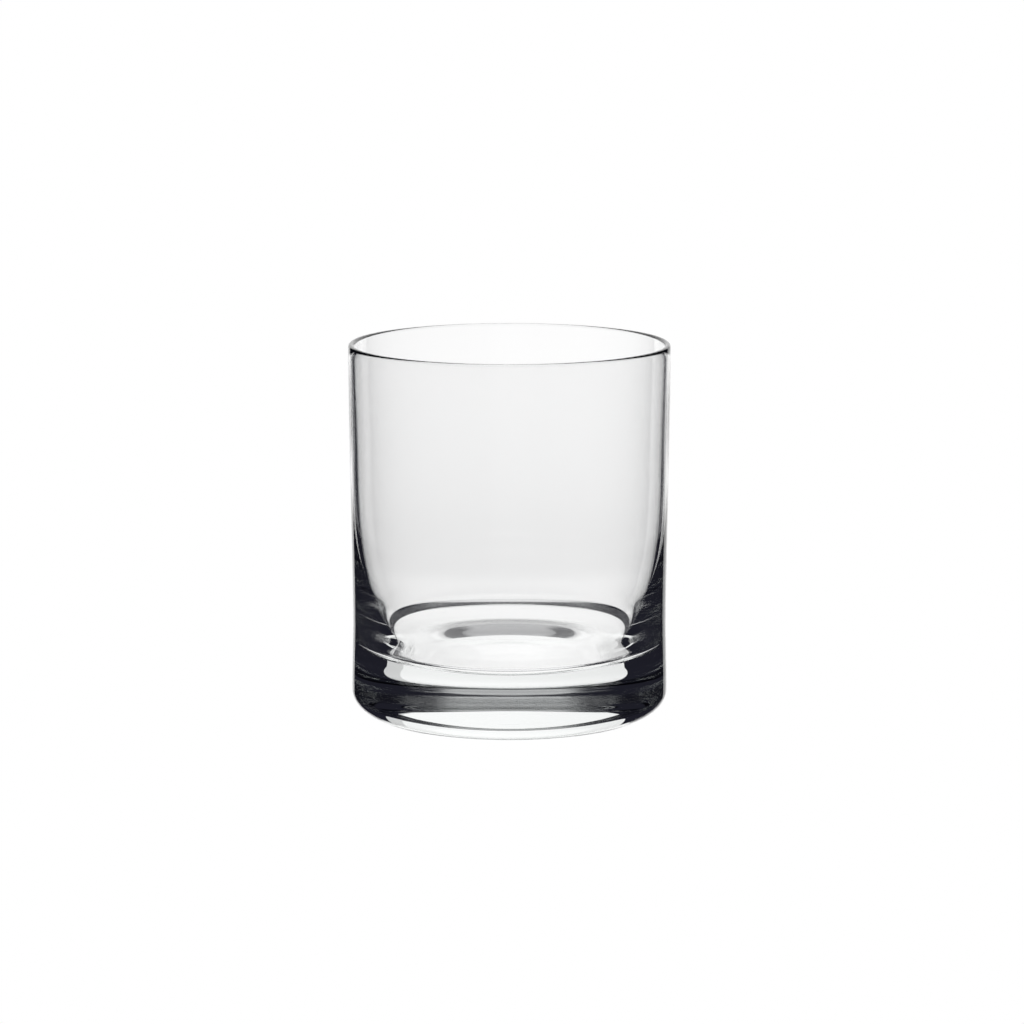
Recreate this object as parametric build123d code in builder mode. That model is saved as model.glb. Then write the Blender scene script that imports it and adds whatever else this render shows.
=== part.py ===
from build123d import *
import os

# Heavy-based old-fashioned (whiskey) tumbler: one piece of glass.
# Millimetres. +Z is up, the origin is the centre of the plane it stands on.
# The outline runs in the XZ half-plane (radius, height) and turns about Z.

os.makedirs("parts", exist_ok=True)

# Overall
height = 96.0
rim_radius = 41.0        # outside, at the mouth
lip_radius = 0.75        # full round of the fire-polished rim

# Outside of the body
waist_radius = 40.3      # slimmest point, just above the base
waist_height = 26.0
waist_reach = 14.0       # how far the waist curve carries up the wall
rim_reach = 25.0         # how far the straight mouth carries down the wall
foot_radius = 40.67      # the foot swells a little below the waist
foot_reach = 6.0         # how far the foot and the waist pull their curve
heel_height = 6.3        # where the rounded heel starts

# Underside
ring_outer = 30.0        # flat bearing ring the glass stands on
ring_inner = 26.5
punt_depth = 2.2         # hollow under the base, inside the ring
punt_flat = 0.45         # share of the ring's radius where the hollow starts to fall
punt_fall = 0.7          # share of the ring's radius where it levels out again
heel_tuck = 0.606        # handle of the heel along the table, as a share of its width
heel_rise = 0.564        # handle of the heel up the foot, as a share of its height

# Inside: points on the outline, and the handles of the curves between them
wall_mid = (38.9, 62.0)
wall_low = (37.1, 34.2)
corner_top = (33.8, 19.5)
floor_edge = (30.3, 17.3)
floor_height = 14.55     # at the centre; the floor is a shallow bowl
mouth_drop = 84.0        # height down to which the mouth stays straight
above_mid, below_mid = (39.1, 76.0), (38.7, 48.0)
above_low, below_low = (38.25, 41.7), (35.6, 24.6)
above_corner, below_corner = (34.25, 23.6), (33.68, 18.5)
outside_edge, inside_edge = (31.3, 17.5), (21.9, 15.5)
floor_flat = 15.3        # radius out to which the floor stays level

rim_height = height - lip_radius
mouth_radius = rim_radius - 2 * lip_radius
heel_width = foot_radius - ring_outer

with BuildPart() as tumbler:
    with BuildSketch(Plane.XZ) as half_section:
        with BuildLine():
            # punt, bearing ring and heel
            Bezier(
                (0, punt_depth),
                (punt_flat * ring_inner, punt_depth),
                (punt_fall * ring_inner, 0),
                (ring_inner, 0),
            )
            Line((ring_inner, 0), (ring_outer, 0))
            Bezier(
                (ring_outer, 0),
                (ring_outer + heel_tuck * heel_width, 0),
                (foot_radius, heel_height * (1 - heel_rise)),
                (foot_radius, heel_height),
            )
            # foot, waist and outer wall
            Bezier(
                (foot_radius, heel_height),
                (foot_radius, heel_height + foot_reach),
                (waist_radius, waist_height - foot_reach),
                (waist_radius, waist_height),
            )
            Bezier(
                (waist_radius, waist_height),
                (waist_radius, waist_height + waist_reach),
                (rim_radius, rim_height - rim_reach),
                (rim_radius, rim_height),
            )
            # rounded rim
            ThreePointArc(
                (rim_radius, rim_height),
                (rim_radius - lip_radius, height),
                (mouth_radius, rim_height),
            )
            # inner wall, thickening towards the base
            Bezier(
                (mouth_radius, rim_height),
                (mouth_radius, mouth_drop),
                above_mid,
                wall_mid,
            )
            Bezier(wall_mid, below_mid, above_low, wall_low)
            Bezier(wall_low, below_low, above_corner, corner_top)
            # tight corner and bowl-shaped floor
            Bezier(corner_top, below_corner, outside_edge, floor_edge)
            Bezier(
                floor_edge,
                inside_edge,
                (floor_flat, floor_height),
                (0, floor_height),
            )
            Line((0, floor_height), (0, punt_depth))
        make_face()
    revolve(axis=Axis.Z)

tumbler.part.label = "tumbler"
export_step(tumbler.part, "parts/tumbler.step")
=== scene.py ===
"""Looks of the whiskey tumbler: one piece of clear glass in a pale studio."""

import math

import bpy
import numpy as np
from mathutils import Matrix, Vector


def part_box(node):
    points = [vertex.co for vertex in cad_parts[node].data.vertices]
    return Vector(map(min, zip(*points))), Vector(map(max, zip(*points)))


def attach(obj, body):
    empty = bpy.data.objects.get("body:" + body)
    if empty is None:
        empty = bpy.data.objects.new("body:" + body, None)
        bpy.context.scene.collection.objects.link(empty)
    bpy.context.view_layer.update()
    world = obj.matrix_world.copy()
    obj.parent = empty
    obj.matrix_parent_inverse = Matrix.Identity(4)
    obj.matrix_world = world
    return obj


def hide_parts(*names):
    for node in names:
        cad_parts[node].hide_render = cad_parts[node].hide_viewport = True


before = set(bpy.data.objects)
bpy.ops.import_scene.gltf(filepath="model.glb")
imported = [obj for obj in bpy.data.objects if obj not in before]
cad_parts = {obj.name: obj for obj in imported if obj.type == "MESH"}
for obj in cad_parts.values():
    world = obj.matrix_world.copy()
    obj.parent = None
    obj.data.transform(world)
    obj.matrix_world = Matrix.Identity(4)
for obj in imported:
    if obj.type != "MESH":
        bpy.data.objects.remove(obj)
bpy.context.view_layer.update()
scene = bpy.context.scene

# The outline below is drawn for this mouth and height, in millimetres, and is
# scaled to the box of the CAD node.
DRAWN_RADIUS = 41.0
DRAWN_HEIGHT = 96.0
node_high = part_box("tumbler")[1]
RADIAL = node_high.x / DRAWN_RADIUS
UPWARD = node_high.z / DRAWN_HEIGHT

# Outside of the body: radii, heights and how far each curve carries
LIP = 0.75
WAIST, WAIST_HEIGHT = 40.3, 26.0
FOOT, HEEL = 40.67, 6.3
FOOT_REACH, WAIST_REACH, RIM_REACH = 6.0, 14.0, 25.0

# Underside: handles are shares of the ring's radius, and of the heel's size
RING_OUTER, RING_INNER = 30.0, 26.5
PUNT = 2.2
PUNT_FLAT, PUNT_FALL = 0.45, 0.7
HEEL_TUCK, HEEL_RISE = 0.606, 0.564

# Inside: points on the outline as (radius, height), and the handles between them
WALL_MID, WALL_LOW = (38.9, 62.0), (37.1, 34.2)
CORNER_TOP, FLOOR_EDGE = (33.8, 19.5), (30.3, 17.3)
FLOOR, FLOOR_FLAT = 14.55, 15.3
MOUTH_DROP = 84.0
ABOVE_MID, BELOW_MID = (39.1, 76.0), (38.7, 48.0)
ABOVE_LOW, BELOW_LOW = (38.25, 41.7), (35.6, 24.6)
ABOVE_CORNER, BELOW_CORNER = (34.25, 23.6), (33.68, 18.5)
OUTSIDE_EDGE, INSIDE_EDGE = (31.3, 17.5), (21.9, 15.5)

# Mesh points along each curve of the outline, and round the axis
PUNT_STEPS, RING_STEPS, HEEL_STEPS, FOOT_STEPS, OUTER_STEPS = 30, 5, 26, 16, 36
LIP_STEPS = 18
MOUTH_STEPS, WALL_STEPS, BELLY_STEPS, CORNER_STEPS, FLOOR_STEPS = 22, 18, 16, 14, 26
SEGMENTS = 320

WHITE = (1, 1, 1, 1)

# ---------------------------------------------------------------- outline


def bezier(points, count):
    """count points along a cubic, without its first point."""
    p = np.array(points, float)
    t = np.linspace(0, 1, count + 1)[1:, None]
    return (
        (1 - t) ** 3 * p[0]
        + 3 * (1 - t) ** 2 * t * p[1]
        + 3 * (1 - t) * t**2 * p[2]
        + t**3 * p[3]
    )


def outside():
    """From the punt's centre round the heel to the bottom of the rim."""
    rim = DRAWN_HEIGHT - LIP
    punt = [
        (0, PUNT),
        (PUNT_FLAT * RING_INNER, PUNT),
        (PUNT_FALL * RING_INNER, 0),
        (RING_INNER, 0),
    ]
    heel = [
        (RING_OUTER, 0),
        (RING_OUTER + HEEL_TUCK * (FOOT - RING_OUTER), 0),
        (FOOT, HEEL * (1 - HEEL_RISE)),
        (FOOT, HEEL),
    ]
    foot = [
        (FOOT, HEEL),
        (FOOT, HEEL + FOOT_REACH),
        (WAIST, WAIST_HEIGHT - FOOT_REACH),
        (WAIST, WAIST_HEIGHT),
    ]
    wall = [
        (WAIST, WAIST_HEIGHT),
        (WAIST, WAIST_HEIGHT + WAIST_REACH),
        (DRAWN_RADIUS, rim - RIM_REACH),
        (DRAWN_RADIUS, rim),
    ]
    ring = [(r, 0) for r in np.linspace(RING_INNER, RING_OUTER, RING_STEPS + 1)[1:]]
    return [
        np.array([(0, PUNT)]),
        bezier(punt, PUNT_STEPS),
        np.array(ring),
        bezier(heel, HEEL_STEPS),
        bezier(foot, FOOT_STEPS),
        bezier(wall, OUTER_STEPS),
    ]


def lip():
    """The full round of the rim, from the outer wall over to the inner wall."""
    turn = np.radians(np.linspace(0, 180, LIP_STEPS + 1)[1:])
    return np.c_[
        DRAWN_RADIUS - LIP + LIP * np.cos(turn),
        DRAWN_HEIGHT - LIP + LIP * np.sin(turn),
    ]


def inside():
    """From the rim down the inner wall, round the corner to the floor's centre."""
    mouth = DRAWN_RADIUS - 2 * LIP
    top = (mouth, DRAWN_HEIGHT - LIP)
    return [
        bezier([top, (mouth, MOUTH_DROP), ABOVE_MID, WALL_MID], MOUTH_STEPS),
        bezier([WALL_MID, BELOW_MID, ABOVE_LOW, WALL_LOW], WALL_STEPS),
        bezier([WALL_LOW, BELOW_LOW, ABOVE_CORNER, CORNER_TOP], BELLY_STEPS),
        bezier([CORNER_TOP, BELOW_CORNER, OUTSIDE_EDGE, FLOOR_EDGE], CORNER_STEPS),
        bezier([FLOOR_EDGE, INSIDE_EDGE, (FLOOR_FLAT, FLOOR), (0, FLOOR)], FLOOR_STEPS),
    ]


# ---------------------------------------------------------------- glass


def lathe(name, profile, segments):
    """A closed surface of revolution from a profile whose two ends are on the axis."""
    turn = np.linspace(0, 2 * math.pi, segments, endpoint=False)
    rings = profile[1:-1]
    verts = np.empty((len(rings), segments, 3))
    verts[..., 0] = rings[:, 0, None] * np.cos(turn)
    verts[..., 1] = rings[:, 0, None] * np.sin(turn)
    verts[..., 2] = rings[:, 1, None]
    verts = verts.reshape(-1, 3)
    first, last = len(verts), len(verts) + 1
    poles = [[0, 0, profile[0, 1]], [0, 0, profile[-1, 1]]]
    verts = np.vstack([verts, poles])
    end = (len(rings) - 1) * segments
    faces = []
    for k in range(segments):
        n = (k + 1) % segments
        faces.append((first, n, k))
        for i in range(len(rings) - 1):
            a, b = i * segments, (i + 1) * segments
            faces.append((a + k, a + n, b + n, b + k))
        faces.append((last, end + k, end + n))
    mesh = bpy.data.meshes.new(name)
    mesh.from_pydata(verts.tolist(), [], faces)
    mesh.update()
    mesh.polygons.foreach_set("use_smooth", [True] * len(mesh.polygons))
    piece = bpy.data.objects.new(name, mesh)
    scene.collection.objects.link(piece)
    return piece


outline = np.vstack(outside() + [lip()] + inside()) * [RADIAL, UPWARD]
glass = lathe("tumbler_glass", outline, SEGMENTS)

# ---------------------------------------------------------------- materials

IOR = 1.52
TINT, TINT_DENSITY = (0.74, 0.84, 0.80, 1), 2.0

# Worn band: the bearing ring and the first part of the heel, in metres
WORN_HEIGHT = 0.0009
WORN_FADE = 0.0012
SCUFF_SCALE, SCUFF_LOW, SCUFF_HIGH = 900.0, 0.35, 0.7
SCUFF_SMOOTH, SCUFF_ROUGH = 0.02, 0.18
GRAIN_SCALE, GRAIN_DEPTH = 1400.0, 0.00006

# Mould waves: plain to see in the thick base, faint in the wall above it
WAVE_SCALE, WAVE_DEPTH = 60.0, 0.00003
WAVE_BASE, WAVE_WALL = 0.018, 0.030
WAVE_WALL_STRENGTH = 0.25


class Tree:
    """A short way to write a node tree: every helper but node returns a socket."""

    def __init__(self, tree):
        self.tree = tree
        tree.nodes.clear()

    def node(self, kind, inputs=None, **settings):
        made = self.tree.nodes.new(kind)
        for key, value in settings.items():
            setattr(made, key, value)
        for key, value in (inputs or {}).items():
            if isinstance(value, bpy.types.NodeSocket):
                self.tree.links.new(value, made.inputs[key])
            else:
                made.inputs[key].default_value = value
        return made

    def math(self, operation, *values):
        inputs = dict(enumerate(values))
        return self.node("ShaderNodeMath", inputs, operation=operation).outputs[0]

    def span(self, value, low, high, start, end):
        """value mapped smoothly from low..high to start..end."""
        inputs = {
            "Value": value,
            "From Min": low,
            "From Max": high,
            "To Min": start,
            "To Max": end,
        }
        made = self.node("ShaderNodeMapRange", inputs, interpolation_type="SMOOTHSTEP")
        return made.outputs["Result"]

    def noise(self, place, scale, detail, roughness):
        inputs = {"Vector": place, "Scale": scale, "Detail": detail, "Roughness": roughness}
        return self.node("ShaderNodeTexNoise", inputs).outputs["Fac"]


def new_material(name):
    material = bpy.data.materials.new(name)
    material.use_nodes = True
    return material, Tree(material.node_tree)


def glass_material():
    """Clear glass: faint waves, a scuffed ring underneath and a little absorption."""
    material, tree = new_material("clear_glass")
    place = tree.node("ShaderNodeTexCoord").outputs["Object"]
    x, y, up = tree.node("ShaderNodeSeparateXYZ", {"Vector": place}).outputs
    square = tree.math("ADD", tree.math("MULTIPLY", x, x), tree.math("MULTIPLY", y, y))
    radius = tree.math("SQRT", square)

    near_table = tree.span(up, 0.0, WORN_HEIGHT, 1.0, 0.0)
    ring = RING_INNER / 1000
    off_punt = tree.span(radius, ring - WORN_FADE, ring, 0.0, 1.0)
    worn = tree.math("MULTIPLY", near_table, off_punt)
    scuffs = tree.span(
        tree.noise(place, SCUFF_SCALE, 4.0, 0.65),
        SCUFF_LOW,
        SCUFF_HIGH,
        SCUFF_SMOOTH,
        SCUFF_ROUGH,
    )
    waves = tree.node(
        "ShaderNodeBump",
        {
            "Strength": tree.span(up, WAVE_BASE, WAVE_WALL, 1.0, WAVE_WALL_STRENGTH),
            "Distance": WAVE_DEPTH,
            "Height": tree.noise(place, WAVE_SCALE, 1.0, 0.4),
        },
    )
    grain = tree.node(
        "ShaderNodeBump",
        {
            "Strength": worn,
            "Distance": GRAIN_DEPTH,
            "Height": tree.noise(place, GRAIN_SCALE, 3.0, 0.6),
            "Normal": waves.outputs[0],
        },
    )
    shader = tree.node(
        "ShaderNodeBsdfPrincipled",
        {
            "Base Color": WHITE,
            "Transmission Weight": 1.0,
            "IOR": IOR,
            "Roughness": tree.math("MULTIPLY", worn, scuffs),
            "Normal": grain.outputs[0],
        },
    )
    tint = tree.node("ShaderNodeVolumeAbsorption", {"Color": TINT, "Density": TINT_DENSITY})
    ends = {"Surface": shader.outputs[0], "Volume": tint.outputs[0]}
    tree.node("ShaderNodeOutputMaterial", ends)
    return material


glass.data.materials.append(glass_material())
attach(glass, "root")
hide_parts("tumbler")

# ---------------------------------------------------------------- studio

# The table is seen by the camera alone, so that the base stays dark at its sides.
TABLE_REACH = 20.0

# Camera: a little to the right of the axis, looking down at the glass
LENS = 114.36
CAMERA_PLACE = (0.00065, -0.8211, 0.2034)
CAMERA_DIP = 10.43

# The light panel stands behind the glass, in metres from its axis
BACK = 0.246
LEFT, RIGHT, LOW, HIGH = -0.139, 0.164, -0.36, 0.3
PANEL_LEVEL = 1.08
STRIP_START, STRIP_SOFT, STRIP_LEVEL = 0.118, 0.002, 0.70
LEFT_LEVEL, EVEN_FROM = 0.93, 0.06
DIM_TOP, DIM_BOTTOM, DIM_LEVEL = 0.05, -0.025, 0.91
LIFT_TOP, LIFT_BOTTOM, LIFT = -0.045, -0.09, 0.08

# The room as the glass sees it: limits are parts of a unit direction
ROOM = (0.013, 0.013, 0.020, 1)
LAMP_LOW, LAMP_HIGH, LAMP_LEVEL = 0.70, 0.74, 0.42
LAMP_FULL, LAMP_END = 0.36, 0.54
GROUND_FULL, GROUND_END, GROUND_LEVEL = -0.90, -0.82, 0.93


def sheet(name, corners, material):
    mesh = bpy.data.meshes.new(name)
    mesh.from_pydata(corners, [], [(0, 1, 2, 3)])
    mesh.materials.append(material)
    card = bpy.data.objects.new(name, mesh)
    scene.collection.objects.link(card)
    return card


def floor_material():
    material, tree = new_material("pale_floor")
    glow = tree.node("ShaderNodeEmission", {"Color": WHITE})
    tree.node("ShaderNodeOutputMaterial", {"Surface": glow.outputs[0]})
    return material


floor = sheet(
    "floor",
    [
        (-TABLE_REACH, -TABLE_REACH, 0),
        (TABLE_REACH, -TABLE_REACH, 0),
        (TABLE_REACH, TABLE_REACH, 0),
        (-TABLE_REACH, TABLE_REACH, 0),
    ],
    floor_material(),
)
floor.visible_transmission = False
floor.visible_glossy = False
floor.visible_diffuse = False

camera_data = bpy.data.cameras.new("camera")
camera = bpy.data.objects.new("camera", camera_data)
scene.collection.objects.link(camera)
scene.camera = camera
camera_data.sensor_width = 36.0
camera_data.lens = LENS
camera_data.clip_start = 0.01
camera.location = CAMERA_PLACE
camera.rotation_euler = (math.radians(90 - CAMERA_DIP), 0, 0)

# An empty on the axis whose -Y side follows the camera, so the panel stays behind the glass
rig = bpy.data.objects.new("studio", None)
scene.collection.objects.link(rig)
facing = rig.constraints.new("LOCKED_TRACK")
facing.target = camera
facing.track_axis = "TRACK_NEGATIVE_Y"
facing.lock_axis = "LOCK_Z"


def panel_material():
    """White panel, a little dimmer on the left and low down, with a grey strip on the right."""
    material, tree = new_material("light_panel")
    place = tree.node("ShaderNodeTexCoord").outputs["Object"]
    across, _, up = tree.node("ShaderNodeSeparateXYZ", {"Vector": place}).outputs
    strip_ends = STRIP_START - STRIP_SOFT, STRIP_START + STRIP_SOFT
    strip = tree.span(across, *strip_ends, 1.0, STRIP_LEVEL)
    side = tree.span(across, LEFT, EVEN_FROM, LEFT_LEVEL, 1.0)
    dim = tree.span(up, DIM_TOP, DIM_BOTTOM, 1.0, DIM_LEVEL)
    lift = tree.span(up, LIFT_TOP, LIFT_BOTTOM, 0.0, LIFT)
    height = tree.math("ADD", dim, lift)
    level = tree.math("MULTIPLY", tree.math("MULTIPLY", strip, side), height)
    strength = tree.math("MULTIPLY", level, PANEL_LEVEL)
    glow = tree.node("ShaderNodeEmission", {"Color": WHITE, "Strength": strength})
    tree.node("ShaderNodeOutputMaterial", {"Surface": glow.outputs[0]})
    return material


panel = sheet(
    "light_panel",
    [(LEFT, BACK, LOW), (RIGHT, BACK, LOW), (RIGHT, BACK, HIGH), (LEFT, BACK, HIGH)],
    panel_material(),
)
panel.parent = rig
panel.visible_camera = False
panel.visible_diffuse = False
panel.visible_shadow = False


def studio_world():
    """White to the camera; to the glass, a dark room with light above and pale ground."""
    world = bpy.data.worlds.new("studio")
    world.use_nodes = True
    tree = Tree(world.node_tree)
    way = tree.node("ShaderNodeTexCoord").outputs["Generated"]
    across, _, up = tree.node("ShaderNodeSeparateXYZ", {"Vector": way}).outputs
    sideways = tree.math("ABSOLUTE", across)
    lamp = tree.math(
        "MULTIPLY",
        tree.span(up, LAMP_LOW, LAMP_HIGH, 0.0, LAMP_LEVEL),
        tree.span(sideways, LAMP_FULL, LAMP_END, 1.0, 0.0),
    )
    ground = tree.span(up, GROUND_FULL, GROUND_END, GROUND_LEVEL, 0.0)
    strength = tree.math("ADD", lamp, ground)
    room = tree.node("ShaderNodeBackground", {"Color": ROOM})
    light = tree.node("ShaderNodeBackground", {"Color": WHITE, "Strength": strength})
    lit = tree.node("ShaderNodeAddShader", {0: room.outputs[0], 1: light.outputs[0]})
    white = tree.node("ShaderNodeBackground", {"Color": WHITE})
    seen = tree.node("ShaderNodeLightPath").outputs["Is Camera Ray"]
    choice = {0: seen, 1: lit.outputs[0], 2: white.outputs[0]}
    mix = tree.node("ShaderNodeMixShader", choice)
    tree.node("ShaderNodeOutputWorld", {"Surface": mix.outputs[0]})
    return world


scene.world = studio_world()
scene.view_settings.view_transform = "Standard"
scene.cycles.max_bounces = 32
scene.cycles.transmission_bounces = 32
scene.cycles.glossy_bounces = 16
